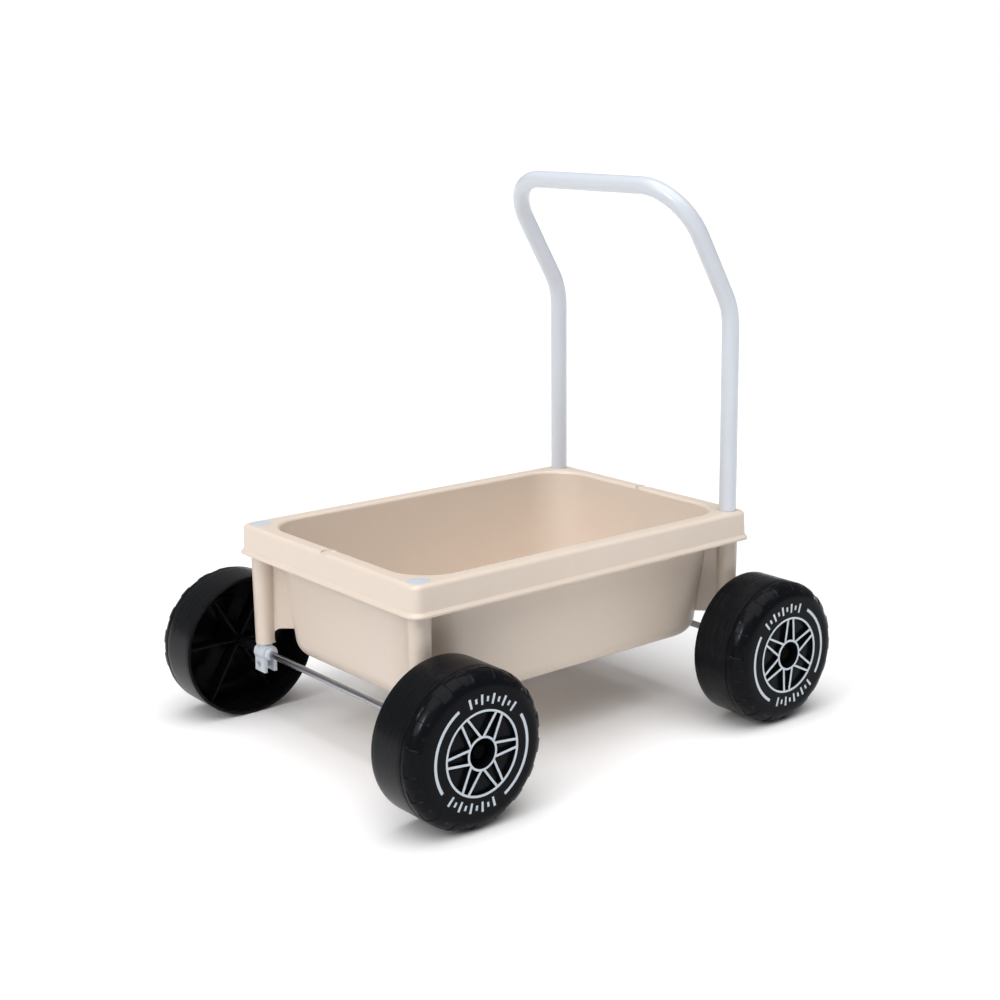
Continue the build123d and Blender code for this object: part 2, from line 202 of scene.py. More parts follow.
def lug_angles(columns):
    """Angle of each column on the shoulder: half a lug, a gap with steep sides, and half a lug, repeated."""
    edges = np.radians([0.0, 4.7, 5.3, 14.7, 15.3, LUG_DEGREES])
    steps = np.interp(np.arange(LUG_COLUMNS), [0, 4, 5, 9, 10, LUG_COLUMNS], edges)
    units = np.arange(columns // LUG_COLUMNS) * math.radians(LUG_DEGREES) - math.pi / SPOKES
    return (units[:, None] + steps[None, :]).ravel()


ANY_RADIUS = 20.0
columns = spoke_angles(np.array([ANY_RADIUS])).shape[1]
print("columns round a cover:", columns)

# %% [markdown]
# The face's height also follows the columns. Between the ridges lie recesses, on the
# ridges the surface stands proud of the face, and the top of a ridge is slightly crowned.

# %% Heights on the face and the shoulder
RECESS, PROUD = -3.4, 0.6
CREST_EDGE, CREST_SHOULDER = 0.42, 0.56  # a ridge's height at its edge, and beside its crown
LUG_DEPTH = 0.7


def spoke_heights():
    """(height, ridge): per column, the height over the face and whether it is a ridge's top."""
    low = [RECESS]
    ridge = [CREST_EDGE, CREST_SHOULDER, PROUD, CREST_SHOULDER, CREST_EDGE]
    sector = low * 12 + ridge + low * 9 + ridge + low * 11
    heights = np.tile(np.array(sector), SPOKES)
    return heights, (heights > 0).astype(float)


def lug_gaps():
    """One in a gap between two lugs and nought on a lug, per column."""
    unit = np.array([0, 0, 0, 0, 0, 1, 1, 1, 1, 1, 0, 0, 0, 0], dtype=float)
    return np.tile(unit, columns // LUG_COLUMNS)


heights, on_ridge = spoke_heights()
print("share of columns on ridges:", round(float(on_ridge.mean()), 3))

# %% [markdown]
# The profile is walked once round: out from the bore, over the hub recess, the rings, the
# face and the elliptical shoulder to the seam, then back inside, one wall thickness in.
# Each row has six values: its radius, its distance along the axle, how far its columns
# follow the lugs rather than the spokes, how strongly the recesses and the lug gaps act
# there, and whether it is printed pale. In the stretches below the first two come from the
# sizes, and the other four are the noughts and ones that follow them.


# %% The cover's profile
COVER_WALL = 2.4
HUB_RECESS, RECESS_FLOOR, FLOOR_FILLET = 11.7, 4.6, 0.4  # radius, height over the seam, corner
SHOULDER_RADIAL, SHOULDER_AXIAL = 14.9, 14.2
GROOVE_WIDTH, GROOVE_DEPTH, GROOVE_CHAMFER = 0.8, 1.0, 0.3
LIP_HEIGHT, LIP_LEAN = 0.35, 0.12  # the eased edge where the hub recess meets the face
RING_FOOT, RING_LEAN = 0.05, 0.1  # a raised ring's foot, and how far its wall leans
GAP_START, GAP_RISE, GAP_END, GAP_FALL = 4.0, 8.0, 68.0, 24.0  # degrees round the shoulder


def walk(*stretches):
    """Joins stretches of rows, each given by its first row, the next stretch's first row and a count."""
    rows = []
    for start, end, count in stretches:
        share = np.arange(count)[:, None] / count
        rows.append(np.array(start)[None, :] * (1 - share) + np.array(end)[None, :] * share)
    return np.concatenate(rows)


def ellipse_rows(centre_r, centre_y, radial, axial, count, up, gap):
    """Rows round a quarter ellipse: radius and distance out by cosine and sine, gap share eased."""
    t = np.linspace(0.0, math.pi / 2, count)
    if not up:
        t = t[::-1]
    degrees = np.degrees(t)
    eased = np.clip((degrees - GAP_START) / GAP_RISE, 0, 1)
    eased = eased * np.clip((GAP_END - degrees) / GAP_FALL, 0, 1)
    eased = eased * eased * (3 - 2 * eased)
    return np.stack([
        centre_r + radial * np.cos(t), centre_y + axial * np.sin(t), np.ones(count),
        np.zeros(count), gap * eased, np.zeros(count)], axis=1)


def cover_rows(seam, top):
    """All rows of the closed profile, in millimetres: hub, face, shoulder, seam and the inside."""
    face = top - PROUD
    floor = seam + RECESS_FLOOR
    joint = floor - COVER_WALL
    bore, recess, fillet = BORE, HUB_RECESS, FLOOR_FILLET
    foot, crest = face + RING_FOOT, face + CREST_EDGE
    hub_in, hub_out = HUB_RING - RIDGE / 2, HUB_RING + RIDGE / 2
    rim_in, rim_out = OUTER_RING - RIDGE / 2, OUTER_RING + RIDGE / 2
    outer, wall = WHEEL_RADIUS, COVER_WALL
    radial, axial = SHOULDER_RADIAL, SHOULDER_AXIAL
    groove, groove_radius = seam + GROOVE_WIDTH, outer - GROOVE_DEPTH
    spring, equator = outer - radial, face - axial
    hub = walk(
        ((bore, joint, 0, 0, 0, 0), (bore, floor, 0, 0, 0, 0), 1),
        ((bore, floor, 0, 0, 0, 0), (recess - fillet, floor, 0, 0, 0, 0), 4),
        ((recess - fillet, floor, 0, 0, 0, 0), (recess, floor + fillet, 0, 0, 0, 0), 1),
        ((recess, floor + fillet, 0, 0, 0, 0), (recess, face - LIP_HEIGHT, 0, 0, 0, 0), 5),
        ((recess, face - LIP_HEIGHT, 0, 0, 0, 0), (recess + LIP_LEAN, face, 0, 0, 0, 0), 1),
        ((recess + LIP_LEAN, face, 0, 0, 0, 0), (hub_in, foot, 0, 0, 0, 0), 1),
        ((hub_in, foot, 0, 0, 0, 0), (hub_in + RING_LEAN, crest, 0, 0, 0, 1), 1),
        ((hub_in + RING_LEAN, crest, 0, 0, 0, 1), (HUB_RING, face + PROUD, 0, 0, 0, 1), 2),
        ((HUB_RING, face + PROUD, 0, 0, 0, 1), (hub_out, crest, 0, 0, 0, 1), 2))
    spokes = walk(
        ((hub_out, crest, 0, 0, 0, 1), (hub_out + WALL_DRAFT, face, 0, 1, 0, 0), 1),
        ((hub_out + WALL_DRAFT, face, 0, 1, 0, 0), (rim_in - WALL_DRAFT, face, 0, 1, 0, 0), 24),
        ((rim_in - WALL_DRAFT, face, 0, 1, 0, 0), (rim_in, crest, 0, 0, 0, 1), 1),
        ((rim_in, crest, 0, 0, 0, 1), (OUTER_RING, face + PROUD, 0, 0, 0, 1), 2),
        ((OUTER_RING, face + PROUD, 0, 0, 0, 1), (rim_out - RING_LEAN, crest, 0, 0, 0, 1), 2),
        ((rim_out - RING_LEAN, crest, 0, 0, 0, 1), (rim_out, foot, 0, 0, 0, 0), 1),
        ((rim_out, foot, 0, 0, 0, 0), (spring, face, 1, 0, 0, 0), 12))
    shoulder = ellipse_rows(spring, equator, radial, axial, 46, False, 1.0)
    edge = walk(
        ((outer, equator, 1, 0, 0, 0), (outer, groove + GROOVE_CHAMFER, 1, 0, 0, 0), 2),
        ((outer, groove + GROOVE_CHAMFER, 1, 0, 0, 0), (outer - GROOVE_CHAMFER, groove, 1, 0, 0, 0), 1),
        ((outer - GROOVE_CHAMFER, groove, 1, 0, 0, 0), (groove_radius, groove, 1, 0, 0, 0), 1),
        ((groove_radius, groove, 1, 0, 0, 0), (groove_radius, seam, 1, 0, 0, 0), 1),
        ((groove_radius, seam, 1, 0, 0, 0), (outer - wall, seam, 1, 0, 0, 0), 1),
        ((outer - wall, seam, 1, 0, 0, 0), (outer - wall, equator, 1, 0, 0, 0), 1))
    inner = ellipse_rows(spring, equator, radial - wall, axial - wall, 12, True, 0.0)
    deepest = face + RECESS - wall
    back = walk(
        ((spring, face - wall, 1, 0, 0, 0), (rim_out, face - wall, 0, 0, 0, 0), 3),
        ((rim_out, face - wall, 0, 0, 0, 0), (rim_out, deepest, 0, 0, 0, 0), 1),
        ((rim_out, deepest, 0, 0, 0, 0), (recess + wall, deepest, 0, 0, 0, 0), 3),
        ((recess + wall, deepest, 0, 0, 0, 0), (recess + wall, joint, 0, 0, 0, 0), 1),
        ((recess + wall, joint, 0, 0, 0, 0), (bore, joint, 0, 0, 0, 0), 2))
    return np.concatenate([hub, spokes, shoulder[:-1], edge, inner[:-1], back])


profile = cover_rows(seam_mm, top_mm)
print("rows in the closed profile:", len(profile))


# %% Make the covers
def cover_points(rows):
    """(points in metres, ridge share): radius and angle give the place, the shares give the depth."""
    radius, out, lug, recess, gap, pale = (rows[:, k:k + 1] for k in range(6))
    angle = spoke_angles(rows[:, 0]) * (1 - lug) + lug_angles(columns)[None, :] * lug
    depth = LUG_DEPTH * gap * lug_gaps()[None, :]
    lean = np.arctan2(np.gradient(rows[:, 0]), -np.gradient(rows[:, 1]))[:, None]
    reach = radius - depth * np.cos(lean)
    height = out + recess * heights[None, :] - depth * np.sin(lean)
    ridge = np.maximum(pale, recess * on_ridge[None, :]) + 0 * angle
    points = np.stack([reach * np.cos(angle), height + 0 * angle, reach * np.sin(angle)], axis=-1)
    return points.reshape(-1, 3) * MM, ridge.ravel()


TURNS = {"front_left": 0.0, "front_right": 0.0, "rear_left": 27.0, "rear_right": 14.0}
local_cover, ridge_share = cover_points(profile)
cover_faces = outward(local_cover, grid_faces(len(profile), columns, True))
covers = {}
for corner in CORNERS:
    placed = stand_in_place(local_cover, math.radians(TURNS[corner]), places[corner])
    covers[corner] = mesh_piece(
        corner + "_cover", placed, cover_faces, {"ridge": ridge_share, "wheel_place": local_cover},
        corner + "_wheel", corner + "_wheel_cover", SHARP_DEGREES["cover"])

# %% [markdown]
# ## The wheel drums
# The drum is the inner half of a wheel: a thin ring, six flat ribs and a slim hub tube,
# open at the back. The ring and the hub are closed profiles turned about the axle, with
# small rounded rims as a moulding has. A rib is a rounded bar whose section is a
# rectangle with softened corners, carried straight out from the hub to the ring.


# %% Drum shapes
EDGE_SOFTNESS, HUB_SOFTNESS = 0.35, 0.4
TIP_SHRINK = 0.02  # a rib's end closes to this share of its section


def turned(profile_points, steps):
    """Grid of points: each (radius, out) of a closed outline, at every angle round the axle."""
    angle = np.arange(steps) * 2 * math.pi / steps
    radius, out = profile_points[:, :1], profile_points[:, 1:]
    return np.stack([radius * np.cos(angle), out + 0 * angle, radius * np.sin(angle)], axis=-1).reshape(-1, 3)


def soft_rectangle(low, high, soften, per_corner=4):
    """Closed outline of a rectangle whose corners are quarter circles of the given radius."""
    centres = np.array([(high[0] - soften, high[1] - soften), (low[0] + soften, high[1] - soften),
                        (low[0] + soften, low[1] + soften), (high[0] - soften, low[1] + soften)])
    quarter = np.linspace(0, math.pi / 2, per_corner)
    angle = (quarter[None, :] + np.arange(4)[:, None] * math.pi / 2)
    ring = np.stack([np.cos(angle), np.sin(angle)], axis=-1) * soften
    return (centres[:, None, :] + ring).reshape(-1, 2)


def split_long(outline, longest):
    """Adds evenly spaced points on an outline's long edges, so that its faces stay compact."""
    following = np.roll(outline, -1, axis=0)
    counts = np.maximum(1, np.ceil(np.linalg.norm(following - outline, axis=1) / longest).astype(int))
    start = np.repeat(outline, counts, axis=0)
    span = np.repeat(following - outline, counts, axis=0)
    share = np.concatenate([np.arange(count) / count for count in counts])
    return start + span * share[:, None]


def rib_bar(inner, outer_end, back, front, thickness):
    """Closed bar along +X: a soft rectangle (out, across) at both ends, each closed by a shrunk rim."""
    section = soft_rectangle((back, -thickness / 2), (front, thickness / 2), EDGE_SOFTNESS)
    middle = section.mean(axis=0)
    stations = [(inner, TIP_SHRINK), (inner, 1.0), (outer_end, 1.0), (outer_end, TIP_SHRINK)]
    rings = [np.column_stack([np.full(len(section), x), middle + (section - middle) * grow])
             for x, grow in stations]
    return np.concatenate(rings), len(section)


# %% Make the drums
DRUM_STEPS = 160
RIBS = 6
DRUM_LENGTH, DRUM_WALL, RIB_DEPTH, RIB_THICKNESS = 38.0, 2.6, 16.0, 2.0
HUB_WALL, RIB_ROOT = 2.22, 1.1  # the hub tube's wall, and how deep in it a rib begins
RING_CELL, TUBE_CELL = 6.0, 12.0  # longest face along the ring and along the hub tube


def drum_shells(outer, seam, hub_low, hub_high):
    """(points, faces) of ring, hub tube and ribs in millimetres, one closed shell after another."""
    shells = []
    ring = soft_rectangle((outer - DRUM_WALL, seam - DRUM_LENGTH), (outer, seam), EDGE_SOFTNESS)
    tube = soft_rectangle((BORE, hub_low), (BORE + HUB_WALL, hub_high), HUB_SOFTNESS)
    for outline in (split_long(ring, RING_CELL), split_long(tube, TUBE_CELL)):
        points = turned(outline, DRUM_STEPS)
        shells.append((points, grid_faces(len(outline), DRUM_STEPS, True)))
    bar, around = rib_bar(BORE + RIB_ROOT, outer - DRUM_WALL / 2, seam - RIB_DEPTH, seam, RIB_THICKNESS)
    bar_faces = grid_faces(len(bar) // around, around, False)
    for index in range(RIBS):
        angle = index * 2 * math.pi / RIBS
        c, s = math.cos(angle), math.sin(angle)
        across, up = bar[:, 0] * c - bar[:, 2] * s, bar[:, 0] * s + bar[:, 2] * c
        shells.append((np.stack([across, bar[:, 1], up], axis=1), bar_faces))
    return shells


def joined(shells):
    """One array of points in metres and one of faces, each shell's numbered after the last one's."""
    points, faces, first = [], [], 0
    for shell_points, shell_faces in shells:
        points.append(shell_points)
        faces.append(outward(shell_points, shell_faces) + first)
        first += len(shell_points)
    return np.concatenate(points) * MM, np.concatenate(faces)


drums = {}
local_drum, drum_faces = joined(drum_shells(WHEEL_RADIUS, seam_mm, hub_end_mm, hub_joint_mm))
for corner in CORNERS:
    placed = stand_in_place(local_drum, math.radians(TURNS[corner]), places[corner])
    drums[corner] = mesh_piece(
        corner + "_drum", placed, drum_faces, {"wheel_place": local_drum},
        corner + "_wheel", corner + "_wheel_drum", SHARP_DEGREES["drum"])

# %% [markdown]
# ## Shared effects
# Moulded plastic, paint and steel are never one flat colour. The effects that several of
# them use are node groups: a fine skin from the mould, hair-fine scuffs from use, and
# soft worn edges. Each group gives only values, masks or normals, and every material
# sets its own amounts.


# %% Node helpers
def add(tree, kind, **settings):
    """A node of that kind, with its properties or its inputs set by name."""
    node = tree.nodes.new(kind)
    for key, value in settings.items():
        if key in node.inputs:
            node.inputs[key].default_value = value
        else:
            setattr(node, key, value)
    return node


def maths(tree, operation, first, second=None, third=None, clamp=False):
    """The result socket of a Math node; each input is a number or another node's socket."""
    node = add(tree, "ShaderNodeMath", operation=operation, use_clamp=clamp)
    for socket, value in zip(node.inputs, (first, second, third)):
        if isinstance(value, bpy.types.NodeSocket):
            tree.links.new(value, socket)
        elif value is not None:
            socket.default_value = value
    return node.outputs[0]


def new_group(name, inputs, outputs):
    """An empty node group with named float or vector inputs and outputs."""
    group = bpy.data.node_groups.new(name, "ShaderNodeTree")
    for label, kind, value in inputs:
        socket = group.interface.new_socket(label, in_out="INPUT", socket_type="NodeSocket" + kind)
        if value is not None:
            socket.default_value = value
    for label, kind in outputs:
        group.interface.new_socket(label, in_out="OUTPUT", socket_type="NodeSocket" + kind)
    return group, group.nodes.new("NodeGroupInput").outputs, group.nodes.new("NodeGroupOutput").inputs


# %% [markdown]
# The mould's skin is a fine, even roughness, with a wide and very faint cloudiness in the
# colour where the plastic flowed. Two noises at very different sizes give both.

# %% Group: moulded skin
skin, given, result = new_group(
    "Moulded skin",
    [("Place", "Vector", None), ("Grain size", "Float", 0.0008), ("Cloud size", "Float", 0.05)],
    [("Height", "Float"), ("Cloud", "Float")])
fine = add(skin, "ShaderNodeTexNoise", Detail=3.0, Roughness=0.6)
skin.links.new(given["Place"], fine.inputs["Vector"])
skin.links.new(maths(skin, "DIVIDE", 1.0, given["Grain size"]), fine.inputs["Scale"])
wide = add(skin, "ShaderNodeTexNoise", Detail=2.0, Roughness=0.5)
skin.links.new(given["Place"], wide.inputs["Vector"])
skin.links.new(maths(skin, "DIVIDE", 1.0, given["Cloud size"]), wide.inputs["Scale"])
skin.links.new(fine.outputs["Fac"], result["Height"])
skin.links.new(wide.outputs["Fac"], result["Cloud"])
print("made", skin.name)

# %% [markdown]
# Scuffs are long, thin and sparse. A noise whose place is stretched much more one way
# than the other gives fine streaks, and a steep ramp keeps only the strongest of them.

# %% Group: scuffs
PATCH_SCALE, SCUFF_STEEPNESS = 22.0, 9.0
scuffs, given, result = new_group(
    "Scuffs",
    [("Place", "Vector", None), ("Stretch", "Vector", (1.0, 1.0, 1.0)), ("Threshold", "Float", 0.62)],
    [("Mask", "Float")])
stretched = add(scuffs, "ShaderNodeVectorMath", operation="MULTIPLY")
scuffs.links.new(given["Place"], stretched.inputs[0])
scuffs.links.new(given["Stretch"], stretched.inputs[1])
streaks = add(scuffs, "ShaderNodeTexNoise", Scale=1.0, Detail=4.0, Roughness=0.7)
scuffs.links.new(stretched.outputs[0], streaks.inputs["Vector"])
patches = add(scuffs, "ShaderNodeTexNoise", Scale=PATCH_SCALE, Detail=1.0)
scuffs.links.new(given["Place"], patches.inputs["Vector"])
strong = maths(scuffs, "SUBTRACT", streaks.outputs["Fac"], given["Threshold"])
strong = maths(scuffs, "MULTIPLY", strong, SCUFF_STEEPNESS, clamp=True)
strong = maths(scuffs, "MULTIPLY", strong, patches.outputs["Fac"], clamp=True)
scuffs.links.new(strong, result["Mask"])
print("made", scuffs.name)

# %% [markdown]
# A moulded or painted edge is never knife-sharp: it rounds off by a fraction of a
# millimetre and is rubbed first. The Bevel node gives the normal of such a rounded edge,
# and where that differs from the flat surface's own normal, there is an edge.

# %% Group: soft edges
RUB_STEEPNESS = 4.0
edges, given, result = new_group(
    "Soft edges", [("Radius", "Float", 0.0004)], [("Normal", "Vector"), ("Rubbed", "Float")])
rounded = add(edges, "ShaderNodeBevel", samples=4)
edges.links.new(given["Radius"], rounded.inputs["Radius"])
plain = edges.nodes.new("ShaderNodeNewGeometry")
alike = add(edges, "ShaderNodeVectorMath", operation="DOT_PRODUCT")
edges.links.new(rounded.outputs["Normal"], alike.inputs[0])
edges.links.new(plain.outputs["Normal"], alike.inputs[1])
differs = maths(edges, "SUBTRACT", 1.0, alike.outputs["Value"])
edges.links.new(maths(edges, "MULTIPLY", differs, RUB_STEEPNESS, clamp=True), result["Rubbed"])
edges.links.new(rounded.outputs["Normal"], result["Normal"])
print("made", edges.name)


# %% [markdown]
# ## The finishes
# All finishes follow one pattern: a base colour that a faint cloud and worn places shift a
# little, a roughness that does the same, and a fine bump. One function makes the four
# plain plastics, whose amounts are its arguments. The paint, the steel and the wheels
# repeat the pattern with marks of their own.


# %% The recipe for a finish
def linear(red, green, blue):
    """Screen values from 0 to 255 as linear light: the power 2.4 curve with its straight foot."""
    screen = np.array([red, green, blue]) / 255.0
    light = np.where(screen <= 0.04045, screen / 12.92, ((screen + 0.055) / 1.055) ** 2.4)
    return (*(float(value) for value in light), 1.0)


def blend(tree, amount, first, second):
    """Colour socket: from the first colour to the second as amount goes from nought to one."""
    mix = add(tree, "ShaderNodeMix", data_type="RGBA")
    colour_a, colour_b = 6, 7
    for socket, value in ((mix.inputs["Factor"], amount), (mix.inputs[colour_a], first),
                          (mix.inputs[colour_b], second)):
        if isinstance(value, bpy.types.NodeSocket):
            tree.links.new(value, socket)
        else:
            socket.default_value = value
    return mix.outputs[2]


def finish_base(name, place_attribute=None):
    """A material whose tree holds the shader, the place that patterns read, and the shared groups."""
    material = bpy.data.materials.new(name)
    material.use_nodes = True
    tree = material.node_tree
    shader = tree.nodes["Principled BSDF"]
    if place_attribute:
        place = add(tree, "ShaderNodeAttribute", attribute_name=place_attribute).outputs["Vector"]
    else:
        place = tree.nodes.new("ShaderNodeTexCoord").outputs["Object"]
    return material, tree, shader, place


def use(tree, group, place=None, **values):
    """Places a shared group, with its numbers set and its place linked."""
    node = add(tree, "ShaderNodeGroup", node_tree=group)
    for label, value in values.items():
        node.inputs[label.replace("_", " ")].default_value = value
    if place is not None:
        tree.links.new(place, node.inputs["Place"])
    return node


def bump(tree, height, normal, strength, distance):
    """Normal socket: a height laid over a normal."""
    node = add(tree, "ShaderNodeBump", Strength=strength, Distance=distance)
    tree.links.new(height, node.inputs["Height"])
    if normal is not None:
        tree.links.new(normal, node.inputs["Normal"])
    return node.outputs["Normal"]


# %% [markdown]
# ** Moulded plastics.** The tub is polypropylene in a warm beige: satin, faintly cloudy,
# with fine scuffs, and a little paler where edges are rubbed. The plugs and the clips are
# a cool off-white. The caps are black plastic that barely shines, but their colour is made darker
# and duller than the wheels' black, as painted shade of the deep hub recesses they sit in.

# %% Moulded plastics
def moulded(name, colour, cloud_colour, rubbed_colour, roughness, grain, edge, shine=0.5):
    """Satin moulded plastic: cloud and rubbed edges in the colour, grain and scuffs in roughness and bump."""
    material, tree, shader, where = finish_base(name)
    texture = use(tree, skin, where, Grain_size=grain)
    soft = use(tree, edges, Radius=edge)
    marks = use(tree, scuffs, where, Stretch=(90.0, 420.0, 420.0), Threshold=0.6)
    cloudy = blend(tree, texture.outputs["Cloud"], colour, cloud_colour)
    rubbed = maths(tree, "MULTIPLY", soft.outputs["Rubbed"], 0.5)
    worn = maths(tree, "MAXIMUM", rubbed, maths(tree, "MULTIPLY", marks.outputs["Mask"], 0.35))
    tree.links.new(blend(tree, worn, cloudy, rubbed_colour), shader.inputs["Base Color"])
    rough = maths(tree, "MULTIPLY_ADD", texture.outputs["Cloud"], 0.12, roughness - 0.06)
    rough = maths(tree, "MULTIPLY_ADD", marks.outputs["Mask"], 0.15, rough)
    tree.links.new(rough, shader.inputs["Roughness"])
    normal = bump(tree, texture.outputs["Height"], soft.outputs["Normal"], 0.12, grain * 0.25)
    tree.links.new(normal, shader.inputs["Normal"])
    shader.inputs["Specular IOR Level"].default_value = shine
    return material


tub_plastic = moulded(
    "tub_plastic", linear(221, 206, 192), linear(216, 202, 188), linear(230, 218, 206),
    roughness=0.36, grain=0.0009, edge=0.0006)
plug_plastic = moulded(
    "plug_plastic", linear(197, 203, 214), linear(192, 198, 210), linear(212, 216, 224),
    roughness=0.40, grain=0.0006, edge=0.0003)
clip_plastic = moulded(
    "clip_plastic", linear(207, 213, 222), linear(202, 208, 217), linear(219, 224, 231),
    roughness=0.38, grain=0.0006, edge=0.0004)
# The caps' near-black colour and very low shine are partly the black plastic and partly painted shade of the
# deep hub recess.
cap_plastic = moulded(
    "cap_plastic", linear(5, 5, 6), linear(4, 4, 5), linear(10, 10, 11),
    roughness=0.42, grain=0.0006, edge=0.0003, shine=0.02)
print("made the moulded plastics")

# %% [markdown]
# **Handle paint.** The tube is powder coated: a cool white under a clear skin, smooth but
# with the slight orange-peel ripple that baked powder keeps.

# %% Handle paint
handle_paint, tree, shader, where = finish_base("handle_paint")
ripple = use(tree, skin, where, Grain_size=0.0035, Cloud_size=0.09)
speck = use(tree, scuffs, where, Stretch=(300.0, 300.0, 60.0), Threshold=0.66)
coloured = blend(tree, ripple.outputs["Cloud"], linear(208, 213, 221), linear(202, 208, 216))
coloured = blend(tree, maths(tree, "MULTIPLY", speck.outputs["Mask"], 0.3), coloured, linear(188, 192, 200))
tree.links.new(coloured, shader.inputs["Base Color"])
tree.links.new(maths(tree, "MULTIPLY_ADD", ripple.outputs["Cloud"], 0.1, 0.30), shader.inputs["Roughness"])
tree.links.new(bump(tree, ripple.outputs["Height"], None, 0.10, 0.0006), shader.inputs["Normal"])
shader.inputs["Coat Weight"].default_value = 0.35
shader.inputs["Coat Roughness"].default_value = 0.12
print("made", handle_paint.name)

# %% [markdown]
# **Axle steel.** The rods are drawn steel: a cool grey, clouded a little darker, with lines
# along the rod from the die. The streaks are stretched along Y, the way the axles run.

# %% Axle steel
axle_steel, tree, shader, where = finish_base("axle_steel")
lines = use(tree, scuffs, where, Stretch=(2600.0, 14.0, 2600.0), Threshold=0.42)
stain = use(tree, skin, where, Grain_size=0.004, Cloud_size=0.03)
metal = blend(tree, stain.outputs["Cloud"], linear(190, 193, 200), linear(165, 166, 173))
tree.links.new(blend(tree, lines.outputs["Mask"], metal, linear(136, 137, 143)), shader.inputs["Base Color"])
tree.links.new(maths(tree, "MULTIPLY_ADD", lines.outputs["Mask"], 0.16, 0.24), shader.inputs["Roughness"])
tree.links.new(bump(tree, lines.outputs["Mask"], None, 0.2, 0.00008), shader.inputs["Normal"])
shader.inputs["Metallic"].default_value = 1.0
print("made", axle_steel.name)

# %% [markdown]
# **Wheel plastic.** Both wheel halves are black with a low sheen. The drum's running
# surface is rubbed in rings as it rolls, so its streaks follow the circle: the pattern
# reads the wheel's own coordinates, and its place is swapped for direction and distance
# along the axle, which joins up all the way round.

# %% Ring streaks for the drums
STREAKS_PER_METRE, STREAK_LENGTHS_ROUND = 1500.0, 2.2
STREAK_THRESHOLD, STREAK_STEEPNESS = 0.56, 6.0
rolled, given, result = new_group("Rolling streaks", [("Place", "Vector", None)], [("Mask", "Float")])
parts = add(rolled, "ShaderNodeSeparateXYZ")
rolled.links.new(given["Place"], parts.inputs[0])
flat = add(rolled, "ShaderNodeCombineXYZ")
rolled.links.new(parts.outputs["X"], flat.inputs["X"])
rolled.links.new(parts.outputs["Z"], flat.inputs["Z"])
heading = add(rolled, "ShaderNodeVectorMath", operation="NORMALIZE")
rolled.links.new(flat.outputs[0], heading.inputs[0])
along = add(rolled, "ShaderNodeCombineXYZ")
rolled.links.new(maths(rolled, "MULTIPLY", parts.outputs["Y"], STREAKS_PER_METRE), along.inputs["Y"])
streak_place = add(rolled, "ShaderNodeVectorMath", operation="MULTIPLY_ADD")
rolled.links.new(heading.outputs[0], streak_place.inputs[0])
streak_place.inputs[1].default_value = (STREAK_LENGTHS_ROUND,) * 3
rolled.links.new(along.outputs[0], streak_place.inputs[2])
noise = add(rolled, "ShaderNodeTexNoise", Scale=1.0, Detail=3.0, Roughness=0.65)
rolled.links.new(streak_place.outputs[0], noise.inputs["Vector"])
steep = maths(rolled, "SUBTRACT", noise.outputs["Fac"], STREAK_THRESHOLD)
steep = maths(rolled, "MULTIPLY", steep, STREAK_STEEPNESS, clamp=True)
rolled.links.new(steep, result["Mask"])
print("made", rolled.name)

# %% Drum plastic
drum_plastic, tree, shader, where = finish_base("wheel_drum_plastic", "wheel_place")
texture = use(tree, skin, where, Grain_size=0.0007, Cloud_size=0.03)
soft = use(tree, edges, Radius=0.0004)
streaks_on = use(tree, rolled, where)
dark = blend(tree, texture.outputs["Cloud"], linear(14, 15, 18), linear(17, 18, 21))
worn = maths(tree, "MAXIMUM", maths(tree, "MULTIPLY", soft.outputs["Rubbed"], 0.4),
             maths(tree, "MULTIPLY", streaks_on.outputs["Mask"], 0.15))
tree.links.new(blend(tree, worn, dark, linear(62, 62, 64)), shader.inputs["Base Color"])
rough = maths(tree, "MULTIPLY_ADD", streaks_on.outputs["Mask"], 0.09, 0.26)
tree.links.new(rough, shader.inputs["Roughness"])
grainy = bump(tree, texture.outputs["Height"], soft.outputs["Normal"], 0.12, 0.0002)
tree.links.new(grainy, shader.inputs["Normal"])
shader.inputs["Specular IOR Level"].default_value = 0.09
print("made", drum_plastic.name)

# %% [markdown]
# **Marks on the covers.** The raised ridges carry a pale printed skin, and so do two long
# arcs on the face. Between the arcs is a row of plain ticks. The arcs and ticks are drawn
# from the distance to the hub and the angle round it: a band of radius, cut to a span of
# angle, where half a turn is folded onto the other half because the pattern repeats.

# %% Group: face marks
ARC_RADIUS, ARC_HALF, ARC_SPAN, ARC_MIDDLE = 44.4, 1.35, 45.8, 15.3  # millimetres and degrees
TICK_RADIUS, TICK_HALF_LONG, TICK_HALF_SHORT, TICK_HALF_WIDTH = 43.4, 4.2, 2.1, 1.1
TICK_SPAN, TICK_PITCH = 33.0, 7.4
SOFT_MM, SOFT_DEGREES, HARD_DEGREES = 0.12, 0.2, 0.01
FACE_DEPTH = 2.0

face_marks, given, result = new_group("Face marks", [("Place", "Vector", None)], [("Mask", "Float")])


def within(tree, value, limit, soften):
    """One where the size of value is under limit, falling to nought over the softened edge."""
    size = maths(tree, "ABSOLUTE", value)
    return maths(tree, "DIVIDE", maths(tree, "SUBTRACT", limit, size), soften, clamp=True)


def folded(tree, angle, middle, half):
    """Angle from a middle, folded so that it repeats every two halves."""
    return maths(tree, "WRAP", maths(tree, "SUBTRACT", angle, middle), half, -half)


